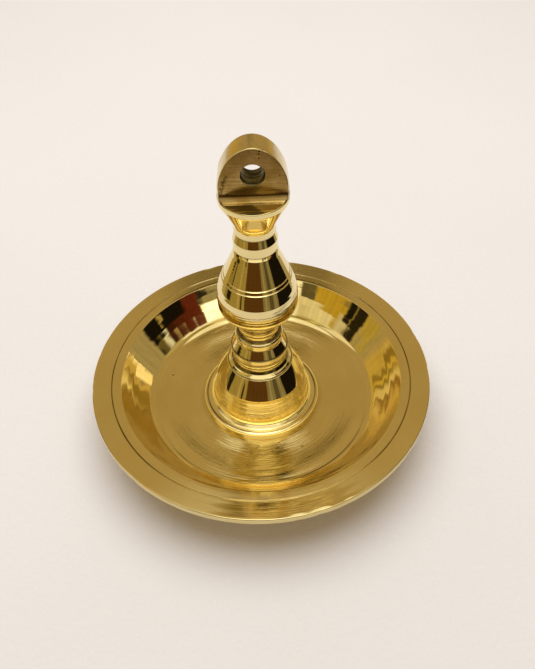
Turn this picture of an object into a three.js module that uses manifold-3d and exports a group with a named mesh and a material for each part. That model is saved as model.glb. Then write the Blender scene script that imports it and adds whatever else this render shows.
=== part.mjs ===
// A brass hanging diya: an oil dish with a flat rim, and a turned stem that ends in a drilled eye to hang it by.
// The stem is three castings, held to the dish by one screw from below and by the finial's own screwed spigot.
// Millimetres, +Z up. The stem's axis is the Z axis, and z = 0 is the surface that the dish's foot ring stands on.
import * as THREE from "three";
import { mergeVertices } from "three/addons/utils/BufferGeometryUtils.js";
import Module from "manifold-3d";

const wasm = await Module();
wasm.setup();

// Dish: a cast bowl turned inside and out, of one wall thickness, with a flat rim and a low foot ring.
const DISH_RADIUS = 60;
const DISH_WALL = 2.6;
const RIM_WIDTH = 10.1;
const RIM_EDGE_ROUND = 0.5;
const RIM_LIP_ROUND = 0.8;
const RIM_GROOVE_INSET = 6.8;
const RIM_GROOVE_WIDTH = 0.5;
const RIM_GROOVE_DEPTH = 0.35;
const BOWL_DEPTH = 12.5;
const BOWL_SLOPE_DEG = 52;
const BOWL_CORNER_ROUND = 13;
const UNDER_RIM_ROUND = 3;
const FOOT_RING_RADIUS = 30;
const FOOT_RING_WIDTH = 3.2;
const FOOT_RING_HEIGHT = 4.4;
const FOOT_RING_ROUND = 0.8;

// Foot: the ridged boss that stands on the dish's floor.
const FOOT_RADIUS = 20.9;
const FOOT_BEAD_HEIGHT = 2.9;
const FOOT_BEAD_ROUND = 1.1;
const FOOT_SCRIBE_DEPTH = 0.25;
const FOOT_SCRIBE_WIDTH = 0.35;
const FLARE_LEDGE = 0.5;
const FLARE_HEIGHT = 11.6;
const FLARE_ROUND = 2.6;
const FLARE_FOOT_RADIUS = 17.2;
const FLARE_WAIST_RADIUS = 15.1;
const SHOULDER_RADIUS = 15.4;
const SHOULDER_LIP_HEIGHT = 1.2;
const CONE_HEIGHT = 6.6;
const CONE_TOP_RADIUS = 11.45;
const COVE_LEDGE = 0.35;
const COVE_HEIGHT = 5.4;
const COVE_RADIUS = 9.25;
const COVE_ROUND = 1.7;

// Column: from the light ring over the foot to the chamfer under the finial.
const RING_RADIUS = 9.75;
const RING_HEIGHT = 2.4;
const RING_ROUND = 0.7;
const BAND_LOW_RADIUS = 9.45;
const BAND_TOP_RADIUS = 7.85;
const BAND_HEIGHT = 3.0;
const BEAD_RADIUS = 8.25;
const BEAD_HEIGHT = 3.4;
const BEAD_ROUND = 1.6;
const NECK_RADIUS = 6.75;
const NECK_HEIGHT = 4.5;
const NECK_ROUND = 3.4;
const BULB_RADIUS = 13.1;
const BULB_UNDER_HEIGHT = 8.1;
const BULB_UNDER_ROUND = 6;
const BULB_BELT_HEIGHT = 6.9;
const BULB_BELT_ROUND = 18;
const BULB_TOP_HEIGHT = 6.0;
const SCRIBE_LOW_RADIUS = 11.1;
const SCRIBE_HIGH_RADIUS = 10.5;
const SCRIBE_SPACING = 1.2;
const SCRIBE_WIDTH = 0.4;
const SCRIBE_DEPTH = 0.22;
const BULB_CONE_HEIGHT = 7.4;
const COLLAR_LOW_RADIUS = 7.4;
const COLLAR_TOP_RADIUS = 7.0;
const COLLAR_HEIGHT = 1.6;
const CHAMFER_RADIUS = 6.35;
const CHAMFER_HEIGHT = 1.1;

// Eye finial: two collars, a funnel-shaped cup, and a plate with a round top.
// The plate is milled flat on both sides and drilled through.
const LOWER_COLLAR_RADIUS = 6.9;
const LOWER_COLLAR_HEIGHT = 3.6;
const GROOVE_TOP_RADIUS = 6.1;
const GROOVE_HEIGHT = 2.8;
const UPPER_COLLAR_RADIUS = 6.5;
const UPPER_COLLAR_HEIGHT = 3.2;
const FUNNEL_ROUND = 7;
const CUP_RADIUS = 10.6;
const CUP_HEIGHT = 8.3;
const CUP_ROUND = 1.5;
const CUP_LIP_HEIGHT = 1.8;
const EYE_HALF_WIDTH = 10.6;
const EYE_HEIGHT = 17.2;
const EYE_THICKNESS = 7.5;
const EYE_HOLE_RADIUS = 3.35;
const EYE_HOLE_HEIGHT = 8.6;
const MILLED_CORNER_ROUND = 2.4;

// What holds the pieces together, all on the stem's axis.
const SCREW_RADIUS = 3;
const SCREW_REACH = 14;
const SCREW_HEAD_RADIUS = 5.6;
const SCREW_HEAD_HEIGHT = 2.9;
const SCREW_HEAD_ROUND = 1.2;
const SCREW_SLOT_WIDTH = 1.3;
const SCREW_SLOT_DEPTH = 1.2;
const SCREW_POINT = 0.6;
const WASHER_RADIUS = 7.5;
const WASHER_THICKNESS = 1;
const SEAL_RADIUS = 8;
const SEAL_THICKNESS = 1.2;
const SPIGOT_RADIUS = 5;
const SPIGOT_LENGTH = 3;
const FINIAL_SCREW_RADIUS = 3.5;
const FINIAL_SCREW_LENGTH = 9;
const BORE_CLEARANCE = 0.3;
const THREAD_CLEARANCE = 0.1;
const DEPTH_CLEARANCE = 0.6;

// How finely round shapes are divided. Rounds of less than SMALL_ROUND take the coarser step.
const DISH_SIDES = 72;
const STEM_SIDES = 40;
const SMALL_SIDES = 24;
const FILLET_STEP_DEG = 20;
const SMALL_FILLET_STEP_DEG = 30;
const SMALL_ROUND = 1;
const EYE_STEPS = 28;

// Arcs together take up at most this share of an edge. Cutting shapes are so many times as long as what they cut.
const ARC_SHARE = 0.98;
const OVERREACH = 4;
const WELD_DISTANCE = 1e-4;

// Heights that follow from the sizes above.
const FLOOR_UNDERSIDE = FOOT_RING_HEIGHT;
const FLOOR_TOP = FLOOR_UNDERSIDE + DISH_WALL;
const RIM_TOP = FLOOR_TOP + BOWL_DEPTH;
const FOOT_HEIGHT = FOOT_BEAD_HEIGHT + FLARE_HEIGHT + CONE_HEIGHT + COVE_HEIGHT;
const FOOT_TOP = FLOOR_TOP + FOOT_HEIGHT;
const SCRIBE_LOW_HEIGHT = RING_HEIGHT + BAND_HEIGHT + BEAD_HEIGHT + NECK_HEIGHT
  + BULB_UNDER_HEIGHT + BULB_BELT_HEIGHT + BULB_TOP_HEIGHT;
const COLUMN_HEIGHT = SCRIBE_LOW_HEIGHT + SCRIBE_SPACING + BULB_CONE_HEIGHT + COLLAR_HEIGHT + CHAMFER_HEIGHT;
const COLUMN_TOP = FOOT_TOP + COLUMN_HEIGHT;
const LEDGE_HEIGHT = LOWER_COLLAR_HEIGHT + GROOVE_HEIGHT + UPPER_COLLAR_HEIGHT + CUP_HEIGHT + CUP_LIP_HEIGHT;
const LEDGE = COLUMN_TOP + LEDGE_HEIGHT;

// Replaces each corner [radius, height, round] of an outline by an arc that meets both of its edges.
// Two arcs share an edge in proportion to their rounds, and a round that is too large becomes the largest that fits.
function rounded(corners, closed) {
  const points = [];
  const count = corners.length;
  corners.forEach(([x, y, round = 0], i) => {
    const corner = new THREE.Vector2(x, y);
    if (!round || (!closed && (i === 0 || i === count - 1))) {
      points.push(corner);
      return;
    }
    const [beforeX, beforeY, roundBefore = 0] = corners[(i + count - 1) % count];
    const [afterX, afterY, roundAfter = 0] = corners[(i + 1) % count];
    const before = new THREE.Vector2(beforeX, beforeY).sub(corner);
    const after = new THREE.Vector2(afterX, afterY).sub(corner);
    const halfAngle = Math.abs(before.angleTo(after)) / 2;
    const room = Math.min(before.length() / (round + roundBefore), after.length() / (round + roundAfter));
    const longest = ARC_SHARE * round * room;
    const reach = Math.min(round / Math.tan(halfAngle), longest);
    const radius = reach * Math.tan(halfAngle);
    const middle = before.clone().normalize().add(after.clone().normalize()).normalize();
    const centre = middle.multiplyScalar(radius / Math.sin(halfAngle)).add(corner);
    const start = before.setLength(reach).add(corner).sub(centre);
    const turn = Math.PI - 2 * halfAngle;
    const sense = Math.sign(start.cross(after.setLength(reach).add(corner).sub(centre)));
    const step = round < SMALL_ROUND ? SMALL_FILLET_STEP_DEG : FILLET_STEP_DEG;
    const steps = Math.max(2, Math.round(THREE.MathUtils.radToDeg(turn) / step));
    for (let k = 0; k <= steps; k += 1)
      points.push(start.clone().rotateAround(new THREE.Vector2(), (sense * turn * k) / steps).add(centre));
  });
  return points;
}

// Turns an outline round the Z axis. An outline that doesn't reach the axis is closed on itself.
function turned(corners, sides) {
  const open = corners[0][0] === 0;
  const points = rounded(corners, !open);
  if (!open) points.push(points[0].clone());
  return new THREE.LatheGeometry(points, sides).rotateX(Math.PI / 2);
}

// Corners given as [radius, rise, round], each rise counted from the corner before, starting at a height.
function stacked(base, steps) {
  let height = base;
  return steps.map(([radius, rise, round]) => [radius, (height += rise), round]);
}

// The corners of a fine V groove cut square into a straight edge, centred at a share of the way along it.
function groove([x0, y0], [x1, y1], share, width, depth) {
  const edge = new THREE.Vector2(x1 - x0, y1 - y0);
  const along = edge.clone().normalize();
  const inward = new THREE.Vector2(-along.y, along.x).multiplyScalar(depth);
  const middle = edge.multiplyScalar(share).add(new THREE.Vector2(x0, y0));
  const half = along.multiplyScalar(width / 2);
  return [
    [middle.x - half.x, middle.y - half.y],
    [middle.x + inward.x, middle.y + inward.y],
    [middle.x + half.x, middle.y + half.y],
  ];
}

// A geometry as a solid for joining and cutting, and a solid as a geometry again.
function solid(geometry) {
  const bare = geometry.clone();
  bare.deleteAttribute("normal");
  bare.deleteAttribute("uv");
  const merged = mergeVertices(bare, WELD_DISTANCE);
  const corners = merged.index.array;
  const faces = [];
  for (let i = 0; i < corners.length; i += 3) {
    const [a, b, c] = corners.slice(i, i + 3);
    if (a !== b && b !== c && c !== a) faces.push(a, b, c);
  }
  return new wasm.Manifold(new wasm.Mesh({
    numProp: 3,
    vertProperties: merged.attributes.position.array,
    triVerts: new Uint32Array(faces),
  }));
}

function geometryOf(manifold) {
  const mesh = manifold.getMesh();
  const geometry = new THREE.BufferGeometry();
  geometry.setAttribute("position", new THREE.BufferAttribute(mesh.vertProperties, 3));
  geometry.setIndex(new THREE.BufferAttribute(mesh.triVerts, 1));
  geometry.computeVertexNormals();
  return geometry;
}

const hangingDiya = new THREE.Group();
hangingDiya.name = "hanging_diya";

function place(name, geometry, colour, roughness, metalness) {
  const material = new THREE.MeshStandardMaterial({ color: colour, roughness, metalness });
  const mesh = new THREE.Mesh(geometry, material);
  mesh.name = name;
  hangingDiya.add(mesh);
}

// Dish. The bowl's wall runs straight down from the rim's lip and meets the flat floor in a large arc.
// Outside, the same line is moved out by the wall's thickness, square to the slope.
function dish() {
  const slope = THREE.MathUtils.degToRad(BOWL_SLOPE_DEG);
  const lipRadius = DISH_RADIUS - RIM_WIDTH;
  const floorCorner = lipRadius - BOWL_DEPTH / Math.tan(slope);
  const outerShift = DISH_WALL * Math.tan(slope / 2);
  const rimUnderside = RIM_TOP - DISH_WALL;
  const ringInner = FOOT_RING_RADIUS - FOOT_RING_WIDTH;
  const hole = SCREW_RADIUS + BORE_CLEARANCE;
  const rimStart = [DISH_RADIUS, RIM_TOP];
  const rimEnd = [lipRadius, RIM_TOP];
  return turned([
    [hole, FLOOR_UNDERSIDE],
    [ringInner, FLOOR_UNDERSIDE, FOOT_RING_ROUND],
    [ringInner, 0],
    [FOOT_RING_RADIUS, 0, FOOT_RING_ROUND],
    [FOOT_RING_RADIUS, FLOOR_UNDERSIDE, FOOT_RING_ROUND],
    [floorCorner + outerShift, FLOOR_UNDERSIDE, BOWL_CORNER_ROUND + DISH_WALL],
    [lipRadius + outerShift, rimUnderside, UNDER_RIM_ROUND],
    [DISH_RADIUS, rimUnderside, RIM_EDGE_ROUND],
    [...rimStart, RIM_EDGE_ROUND],
    ...groove(rimStart, rimEnd, RIM_GROOVE_INSET / RIM_WIDTH, RIM_GROOVE_WIDTH, RIM_GROOVE_DEPTH),
    [...rimEnd, RIM_LIP_ROUND],
    [floorCorner, FLOOR_TOP, BOWL_CORNER_ROUND],
    [hole, FLOOR_TOP],
  ], DISH_SIDES);
}

// Foot. Its bore clears the screw, its underside has a pocket for the seal, and its top a socket for the column.
function foot() {
  const bore = SCREW_RADIUS + BORE_CLEARANCE;
  const socket = SPIGOT_RADIUS + BORE_CLEARANCE;
  const pocket = SEAL_RADIUS + BORE_CLEARANCE;
  const beadTop = FOOT_RADIUS - FOOT_BEAD_ROUND / 2;
  return turned([
    [bore, FLOOR_TOP + SEAL_THICKNESS],
    [pocket, FLOOR_TOP + SEAL_THICKNESS],
    [pocket, FLOOR_TOP],
    ...stacked(FLOOR_TOP, [
      [FOOT_RADIUS, 0, FOOT_BEAD_ROUND],
      [FOOT_RADIUS, FOOT_BEAD_HEIGHT, FOOT_BEAD_ROUND],
      [beadTop - FLARE_LEDGE, 0],
      [beadTop - FLARE_LEDGE - FOOT_SCRIBE_WIDTH / 2, -FOOT_SCRIBE_DEPTH],
      [beadTop - FLARE_LEDGE - FOOT_SCRIBE_WIDTH, FOOT_SCRIBE_DEPTH],
      [FLARE_FOOT_RADIUS, 0, FLARE_ROUND],
      [FLARE_WAIST_RADIUS, FLARE_HEIGHT - SHOULDER_LIP_HEIGHT],
      [SHOULDER_RADIUS, SHOULDER_LIP_HEIGHT],
      [CONE_TOP_RADIUS, CONE_HEIGHT],
      [CONE_TOP_RADIUS - COVE_LEDGE, 0],
      [COVE_RADIUS, COVE_ROUND, COVE_ROUND],
      [COVE_RADIUS, COVE_HEIGHT - COVE_ROUND],
    ]),
    [socket, FOOT_TOP],
    [socket, FOOT_TOP - SPIGOT_LENGTH - DEPTH_CLEARANCE],
    [bore, FOOT_TOP - SPIGOT_LENGTH - DEPTH_CLEARANCE],
  ], STEM_SIDES);
}

// Column. The screw's threaded hole comes up through its spigot, and the finial's comes down from its top.
function column() {
  const screwHole = SCREW_RADIUS + THREAD_CLEARANCE;
  const finialHole = FINIAL_SCREW_RADIUS + THREAD_CLEARANCE;
  const scribeLow = [SCRIBE_LOW_RADIUS, FOOT_TOP + SCRIBE_LOW_HEIGHT];
  const scribeHigh = [SCRIBE_HIGH_RADIUS, scribeLow[1] + SCRIBE_SPACING];
  return turned([
    [0, FOOT_TOP + SCREW_REACH + DEPTH_CLEARANCE],
    [screwHole, FOOT_TOP + SCREW_REACH + DEPTH_CLEARANCE],
    [screwHole, FOOT_TOP - SPIGOT_LENGTH],
    [SPIGOT_RADIUS, FOOT_TOP - SPIGOT_LENGTH],
    [SPIGOT_RADIUS, FOOT_TOP],
    ...stacked(FOOT_TOP, [
      [RING_RADIUS, 0, RING_ROUND],
      [RING_RADIUS, RING_HEIGHT, RING_ROUND],
      [BAND_LOW_RADIUS, 0],
      [BAND_TOP_RADIUS, BAND_HEIGHT],
      [BEAD_RADIUS, BEAD_HEIGHT, BEAD_ROUND],
      [NECK_RADIUS, 0],
      [NECK_RADIUS, NECK_HEIGHT, NECK_ROUND],
      [BULB_RADIUS, BULB_UNDER_HEIGHT, BULB_UNDER_ROUND],
      [BULB_RADIUS, BULB_BELT_HEIGHT, BULB_BELT_ROUND],
    ]),
    ...groove(scribeLow, scribeHigh, 0, SCRIBE_WIDTH, SCRIBE_DEPTH),
    ...groove(scribeLow, scribeHigh, 1, SCRIBE_WIDTH, SCRIBE_DEPTH),
    ...stacked(scribeHigh[1], [
      [COLLAR_LOW_RADIUS, BULB_CONE_HEIGHT],
      [COLLAR_TOP_RADIUS, COLLAR_HEIGHT],
      [CHAMFER_RADIUS, CHAMFER_HEIGHT],
    ]),
    [finialHole, COLUMN_TOP],
    [finialHole, COLUMN_TOP - FINIAL_SCREW_LENGTH - DEPTH_CLEARANCE],
    [0, COLUMN_TOP - FINIAL_SCREW_LENGTH - DEPTH_CLEARANCE],
  ], STEM_SIDES);
}

// The finial's turned body: the screwed spigot, the two collars, and the cup with its flat ledge.
function finialBody() {
  return turned([
    ...stacked(COLUMN_TOP - FINIAL_SCREW_LENGTH, [
      [0, 0],
      [FINIAL_SCREW_RADIUS, 0],
      [FINIAL_SCREW_RADIUS, FINIAL_SCREW_LENGTH],
      [LOWER_COLLAR_RADIUS, 0],
      [LOWER_COLLAR_RADIUS, LOWER_COLLAR_HEIGHT],
      [GROOVE_TOP_RADIUS, GROOVE_HEIGHT],
      [UPPER_COLLAR_RADIUS, 0],
      [UPPER_COLLAR_RADIUS, UPPER_COLLAR_HEIGHT, FUNNEL_ROUND],
      [CUP_RADIUS, CUP_HEIGHT, CUP_ROUND],
      [CUP_RADIUS, CUP_LIP_HEIGHT],
    ]),
    [0, LEDGE],
  ], STEM_SIDES);
}

// The eye's front view: half an ellipse on the ledge. It starts in the cup, so that the two join.
function eyePlate() {
  const half = EYE_THICKNESS / 2;
  const arch = new THREE.Shape();
  arch.moveTo(-EYE_HALF_WIDTH, -CUP_LIP_HEIGHT / 2);
  arch.lineTo(EYE_HALF_WIDTH, -CUP_LIP_HEIGHT / 2);
  arch.lineTo(EYE_HALF_WIDTH, 0);
  arch.absellipse(0, 0, EYE_HALF_WIDTH, EYE_HEIGHT, 0, Math.PI, false, 0);
  const depth = OVERREACH * (half + MILLED_CORNER_ROUND);
  const front = new THREE.ExtrudeGeometry(arch, { depth, bevelEnabled: false, curveSegments: EYE_STEPS });
  front.translate(0, 0, -depth / 2).rotateX(Math.PI / 2);

  // The side view: two milled flats that run out into the ledge in a cutter's radius.
  const foot = half + MILLED_CORNER_ROUND;
  const sides = rounded([
    [-foot, -CUP_LIP_HEIGHT / 2],
    [foot, -CUP_LIP_HEIGHT / 2],
    [foot, 0],
    [half, 0, MILLED_CORNER_ROUND],
    [half, 2 * EYE_HEIGHT],
    [-half, 2 * EYE_HEIGHT],
    [-half, 0, MILLED_CORNER_ROUND],
    [-foot, 0],
  ], true);
  const width = OVERREACH * EYE_HALF_WIDTH;
  const side = new THREE.ExtrudeGeometry(new THREE.Shape(sides), { depth: width, bevelEnabled: false });
  side.translate(0, 0, -width / 2).rotateX(Math.PI / 2).rotateZ(Math.PI / 2);

  // The turned blank that both were milled from, which trims the foot of the plate to the cup's own round.
  const blank = new THREE.CylinderGeometry(CUP_RADIUS, CUP_RADIUS, OVERREACH * EYE_HEIGHT, STEM_SIDES);
  blank.rotateX(Math.PI / 2);
  const solids = [front, side, blank].map((geometry) => solid(geometry.translate(0, 0, LEDGE)));
  return solids.reduce((a, b) => a.intersect(b));
}

function eyeFinial() {
  const drill = new THREE.CylinderGeometry(EYE_HOLE_RADIUS, EYE_HOLE_RADIUS, OVERREACH * CUP_RADIUS, SMALL_SIDES);
  drill.translate(0, 0, LEDGE + EYE_HOLE_HEIGHT);
  return geometryOf(solid(finialBody()).add(eyePlate()).subtract(solid(drill)));
}

// Fixing screw: a slotted pan head below the dish, with a plain shank that reaches up into the column.
function fixingScrew() {
  const seat = FLOOR_UNDERSIDE - WASHER_THICKNESS;
  const tip = FOOT_TOP + SCREW_REACH;
  const body = turned([
    [0, seat - SCREW_HEAD_HEIGHT],
    [SCREW_HEAD_RADIUS, seat - SCREW_HEAD_HEIGHT, SCREW_HEAD_ROUND],
    [SCREW_HEAD_RADIUS, seat],
    [SCREW_RADIUS, seat],
    [SCREW_RADIUS, tip - SCREW_POINT],
    [SCREW_RADIUS - SCREW_POINT, tip],
    [0, tip],
  ], SMALL_SIDES);
  const slot = new THREE.BoxGeometry(OVERREACH * SCREW_HEAD_RADIUS, SCREW_SLOT_WIDTH, 2 * SCREW_SLOT_DEPTH);
  slot.translate(0, 0, seat - SCREW_HEAD_HEIGHT);
  return geometryOf(solid(body).subtract(solid(slot)));
}

// A flat ring round the screw, standing on a height.
function flatRing(outer, base, thickness) {
  const inner = SCREW_RADIUS + BORE_CLEARANCE;
  return turned([[inner, base], [outer, base], [outer, base + thickness], [inner, base + thickness]], SMALL_SIDES);
}

place("dish", dish(), 0xb8974c, 0.3, 1);
place("foot_boss", foot(), 0xc9a24a, 0.25, 1);
place("column", column(), 0xb8923f, 0.12, 1);
place("eye_finial", eyeFinial(), 0xa88a46, 0.35, 1);
place("fixing_screw", fixingScrew(), 0xb08d48, 0.35, 1);
const washerBase = FLOOR_UNDERSIDE - WASHER_THICKNESS;
place("screw_washer", flatRing(WASHER_RADIUS, washerBase, WASHER_THICKNESS), 0xb08d48, 0.35, 1);
place("sealing_washer", flatRing(SEAL_RADIUS, FLOOR_TOP, SEAL_THICKNESS), 0x5a3a24, 0.85, 0);

export default hangingDiya;
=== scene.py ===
import bpy
import numpy as np
from mathutils import Matrix, Vector


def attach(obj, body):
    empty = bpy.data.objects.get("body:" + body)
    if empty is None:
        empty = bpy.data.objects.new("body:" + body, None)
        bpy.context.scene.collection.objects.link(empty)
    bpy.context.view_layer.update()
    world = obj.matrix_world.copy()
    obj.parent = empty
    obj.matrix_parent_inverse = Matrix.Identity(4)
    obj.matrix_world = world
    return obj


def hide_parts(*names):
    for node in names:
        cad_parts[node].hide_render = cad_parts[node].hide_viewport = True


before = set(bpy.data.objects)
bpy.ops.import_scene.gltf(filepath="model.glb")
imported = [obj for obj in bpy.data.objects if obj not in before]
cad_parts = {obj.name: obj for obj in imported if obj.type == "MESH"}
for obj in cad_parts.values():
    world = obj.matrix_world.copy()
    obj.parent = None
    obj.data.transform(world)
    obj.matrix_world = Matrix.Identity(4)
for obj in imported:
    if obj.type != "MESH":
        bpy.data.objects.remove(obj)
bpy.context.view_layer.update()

# Dish. A shallow bowl cast in brass, turned inside and out on a lathe and buffed.
# The rim and the floor are left satin with the tool's rings in them, and the wall between them is bright.
# It stands on a low ring, and one screw from below holds the stem to it.
DISH_RADIUS = 60.0
DISH_WALL = 2.6
LIP_RADIUS = 49.9
FLOOR_UNDER = 4.4
FLOOR_TOP = 7.0
RIM_TOP = 19.5
BOWL_SLOPE = np.radians(52)
WALL_BEND = 5.0
RING_RADIUS = 30.0
RING_WIDTH = 3.2
SCREW_BORE = 3.3
RIM_START = 50.6
RIM_LINE = 53.2
FLOOR_FILLET = 12.0
MM = 0.001


def rounded(corners, closed=False, step=6.0):
    """An outline in mm from corners (radius, height, round). Each rounded corner becomes the arc that
    touches both of its edges, with a point every few degrees. Two arcs share an edge in proportion to their
    rounds, and a round too large for its share is cut to fit."""
    outline = []
    count = len(corners)
    for i, corner in enumerate(corners):
        here = np.array(corner[:2], float)
        size = corner[2] if len(corner) > 2 else 0.0
        if not size or (not closed and i in (0, count - 1)):
            outline.append(here[None])
            continue
        *before, round_before = (*corners[i - 1], 0.0)[:3]
        *after, round_after = (*corners[(i + 1) % count], 0.0)[:3]
        back, ahead = np.array(before) - here, np.array(after) - here
        long_back, long_ahead = np.linalg.norm(back), np.linalg.norm(ahead)
        back, ahead = back / long_back, ahead / long_ahead
        half = np.arccos(np.clip(back @ ahead, -1, 1)) / 2
        room = 0.98 * size * min(long_back / (size + round_before), long_ahead / (size + round_after))
        reach = min(size / np.tan(half), room)
        size = reach * np.tan(half)
        middle = back + ahead
        centre = here + middle / np.linalg.norm(middle) * size / np.sin(half)
        start = here + back * reach - centre
        end = here + ahead * reach - centre
        first = np.arctan2(start[1], start[0])
        turn = (np.arctan2(end[1], end[0]) - first + np.pi) % (2 * np.pi) - np.pi
        angles = first + turn * np.linspace(0, 1, max(3, int(abs(np.degrees(turn)) / step) + 2))
        outline.append(centre + size * np.c_[np.cos(angles), np.sin(angles)])
    return np.vstack(outline)


def divided(outline, longest, plain=None):
    """The same outline, with each edge cut into equal pieces no longer than longest, in mm, or than 1.5 mm
    where plain(radius, height) is true of the edge's middle, as for surfaces that are hidden or smooth."""
    edges = np.diff(outline, axis=0)
    lengths = np.hypot(edges[:, 0], edges[:, 1])
    keep = lengths > 1e-6
    edges, starts, lengths = edges[keep], outline[:-1][keep], lengths[keep]
    limit = np.full(len(lengths), longest)
    if plain is not None:
        limit[plain(*(starts + edges / 2).T)] = 1.5
    cuts = np.maximum(1, np.ceil(lengths / limit - 1e-9)).astype(int)
    edge = np.repeat(np.arange(len(cuts)), cuts)
    share = (np.arange(cuts.sum()) - np.repeat(np.cumsum(cuts) - cuts, cuts)) / cuts[edge]
    return np.vstack([starts[edge] + edges[edge] * share[:, None], outline[-1:]])


def joined(corners, longest, plain=None):
    """A closed outline from corners, rounded and divided, which ends on the point that it starts from."""
    outline = rounded(corners, closed=True)
    return divided(np.vstack([outline, outline[:1]]), longest, plain)


def lathe_mesh(name, outline, sides, closed, relief=None, polish=None, grime_and_shade=None, ringing=None):
    """Turns an outline (radius, height) in mm round the Z axis: point (i, j) is at angle 2 pi i / sides, at
    outline point j moved out along the outline's normal by relief(angle, radius, height, along) in mm.
    An open outline starts and ends on the axis, where its ends become poles. A closed one joins up.
    Stores for the finish, at each point, (cos angle, sin angle, distance along the outline), and how
    polished, how dark with grime and painted shade, and how deeply ringed it is, each a function of (angle,
    radius, height)."""
    ring = outline[:-1] if closed else outline[1:-1]
    steps = np.diff(outline, axis=0)
    along = np.r_[0, np.cumsum(np.hypot(steps[:, 0], steps[:, 1]))]
    along = along[:-1] if closed else along[1:-1]
    if closed:
        tangent = np.roll(ring, -1, 0) - np.roll(ring, 1, 0)
    else:
        tangent = outline[2:] - outline[:-2]
    tangent /= np.linalg.norm(tangent, axis=1, keepdims=True)
    normal = np.c_[tangent[:, 1], -tangent[:, 0]]
    angle = (np.arange(sides) * 2 * np.pi / sides)[:, None]
    radius, height = ring[:, 0][None], ring[:, 1][None]
    lift = np.zeros((sides, len(ring)))
    if relief is not None:
        lift = lift + relief(angle, radius, height, along[None])
    r = radius + normal[:, 0] * lift
    z = height + normal[:, 1] * lift
    points = np.stack([r * np.cos(angle), r * np.sin(angle), z], -1).reshape(-1, 3)
    finish = np.stack(np.broadcast_arrays(np.cos(angle), np.sin(angle), along[None]), -1).reshape(-1, 3)
    marks = np.zeros((3, *lift.shape))
    for row, amount in zip(marks, (polish, grime_and_shade, ringing)):
        if amount is not None:
            row[:] = amount(angle, radius, height)
    marks = marks.reshape(3, -1)
    n = len(ring)
    i = np.arange(sides)[:, None]
    j = np.arange(n if closed else n - 1)[None]
    here, beside = i * n, (i + 1) % sides * n
    quads = np.stack([here + j, beside + j, beside + (j + 1) % n, here + (j + 1) % n], -1).reshape(-1, 4)
    faces = quads.tolist()
    if not closed:
        low, high = len(points), len(points) + 1
        points = np.vstack([points, [0, 0, outline[0, 1]], [0, 0, outline[-1, 1]]])
        finish = np.vstack([finish, [0, 0, 0], [0, 0, along[-1]]])
        marks = np.c_[marks, marks[:, 0], marks[:, n - 1]]
        i = np.arange(sides)
        after = (i + 1) % sides
        faces += np.stack([np.full(sides, low), after * n, i * n], -1).tolist()
        faces += np.stack([np.full(sides, high), i * n + n - 1, after * n + n - 1], -1).tolist()
    return finished_mesh(name, points, faces, finish, *marks)


def finished_mesh(name, points, faces, finish, polish, grime_and_shade, ringing):
    """A mesh from points in mm and faces, smooth, with the four attributes that the finishes read."""
    mesh = bpy.data.meshes.new(name)
    mesh.from_pydata((points * MM).tolist(), [], faces)
    turning = mesh.attributes.new("turning", "FLOAT_VECTOR", "POINT")
    turning.data.foreach_set("vector", finish.astype(np.float32).ravel())
    for word, values in (("polish", polish), ("grime_and_shade", grime_and_shade), ("ringing", ringing)):
        mark = mesh.attributes.new(word, "FLOAT", "POINT")
        mark.data.foreach_set("value", values.astype(np.float32))
    mesh.shade_smooth()
    mesh.update()
    return mesh


def placed(name, mesh, nodes, slot, *materials):
    """A piece at the origin with its materials. It rides on the lamp's one body and stands for CAD nodes."""
    piece = bpy.data.objects.new(name, mesh)
    bpy.context.scene.collection.objects.link(piece)
    for material in materials:
        mesh.materials.append(material)
    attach(piece, "root")
    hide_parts(*nodes)
    return piece


def linear(code):
    """The linear colour of an sRGB hex code such as "C8A050", with alpha 1."""
    value = np.array([int(code[i:i + 2], 16) for i in (0, 2, 4)]) / 255
    value = np.where(value <= 0.04045, value / 12.92, ((value + 0.055) / 1.055) ** 2.4)
    return (*value.tolist(), 1.0)


def add(tree, kind, settings=None, **links):
    """Adds a shader node of a kind. Settings are its own properties, or its inputs where the name is one of
    them or a number. A link is INPUT=socket, with _ for a space, or an input's number after i, as in
    i1=socket."""
    node = tree.nodes.new("ShaderNode" + kind)
    for key, value in (settings or {}).items():
        if isinstance(key, int) or key in node.inputs:
            node.inputs[key].default_value = value
        else:
            setattr(node, key, value)
    for key, source in links.items():
        number = key[1:]
        target = node.inputs[int(number)] if number.isdigit() else node.inputs[key.replace("_", " ")]
        tree.links.new(source, target)
    return node


def new_material(name):
    """A material with only a Principled shader and its output, and its tree."""
    material = bpy.data.materials.new(name)
    material.use_nodes = True
    tree = material.node_tree
    tree.nodes.clear()
    shader = add(tree, "BsdfPrincipled", {"Metallic": 1.0})
    add(tree, "OutputMaterial", Surface=shader.outputs[0])
    return material, tree, shader


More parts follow.
